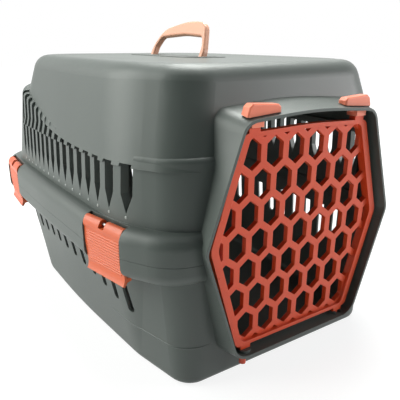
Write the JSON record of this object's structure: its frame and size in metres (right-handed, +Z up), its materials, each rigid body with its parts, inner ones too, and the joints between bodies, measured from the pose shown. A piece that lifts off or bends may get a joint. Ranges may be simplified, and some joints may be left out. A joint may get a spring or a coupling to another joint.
{
  "type": "pet carrier",
  "caption": "Two-piece moulded travel carrier for a small pet, with a hinged lattice door, side vents, hinged side clips and a folding top handle.",
  "frame": {"origin": "on the floor, under the middle of the body", "axes": "+Z up, the doorway faces -Y, +X is on the right when facing the doorway from outside"},
  "size_m": [0.3586, 0.467, 0.3355],
  "materials": {
    "base_plastic": "fine satin texture, dark grey-green",
    "hood_plastic": "fine satin texture, dark grey-green",
    "door_plastic": "satin, red-orange",
    "latch_plastic": "satin, red-orange",
    "handle_plastic": "satin, pale peach",
    "clip_plastic": "satin, orange",
    "pin_steel": "drawn steel wire"
  },
  "bodies": {
    "base": {"base_shell": "base_plastic"},
    "hood": {"hood_shell": "hood_plastic", "clip_pin_front_left": "pin_steel", "clip_pin_front_right": "pin_steel", "clip_pin_rear_left": "pin_steel", "clip_pin_rear_right": "pin_steel"},
    "door": {"door_grille": "door_plastic"},
    "latch_left": {"latch_left": "latch_plastic"},
    "latch_right": {"latch_right": "latch_plastic"},
    "handle": {"carry_handle": "handle_plastic"},
    "clip_front_left": {"clip_front_left": "clip_plastic"},
    "clip_front_right": {"clip_front_right": "clip_plastic"},
    "clip_rear_left": {"clip_rear_left": "clip_plastic"},
    "clip_rear_right": {"clip_rear_right": "clip_plastic"}
  },
  "joints": [
    {"name": "hood_lift", "type": "slide", "parent": "base", "child": "hood", "axis": [0, 0, 1], "range_m": [0, 0.24]},
    {"name": "door_hinge", "type": "hinge", "parent": "base", "child": "door", "pos_m": [-0.0655, -0.225, 0.14], "axis": [0, 0, -1], "range_deg": [0, 110]},
    {"name": "latch_left_slide", "type": "slide", "parent": "hood", "child": "latch_left", "axis": [0.9977, 0, 0.0677], "range_m": [0, 0.012]},
    {"name": "latch_right_slide", "type": "slide", "parent": "hood", "child": "latch_right", "axis": [-0.9977, 0, 0.0677], "range_m": [0, 0.012]},
    {"name": "handle_pivot", "type": "hinge", "parent": "hood", "child": "handle", "pos_m": [0, 0.0035, 0.2915], "axis": [0, 1, 0], "range_deg": [-72, 28]},
    {"name": "clip_front_left_hinge", "type": "hinge", "parent": "hood", "child": "clip_front_left", "pos_m": [-0.16574, -0.14333, 0.1555], "axis": [-0.1822, 0.9833, 0], "range_deg": [0, 100]},
    {"name": "clip_front_right_hinge", "type": "hinge", "parent": "hood", "child": "clip_front_right", "pos_m": [0.16574, -0.14333, 0.1555], "axis": [-0.1822, -0.9833, 0], "range_deg": [0, 100]},
    {"name": "clip_rear_left_hinge", "type": "hinge", "parent": "hood", "child": "clip_rear_left", "pos_m": [-0.16988, 0.14266, 0.1555], "axis": [0.0698, 0.9976, 0], "range_deg": [0, 100]},
    {"name": "clip_rear_right_hinge", "type": "hinge", "parent": "hood", "child": "clip_rear_right", "pos_m": [0.16988, 0.14266, 0.1555], "axis": [0.0698, -0.9976, 0], "range_deg": [0, 100]}
  ]
}
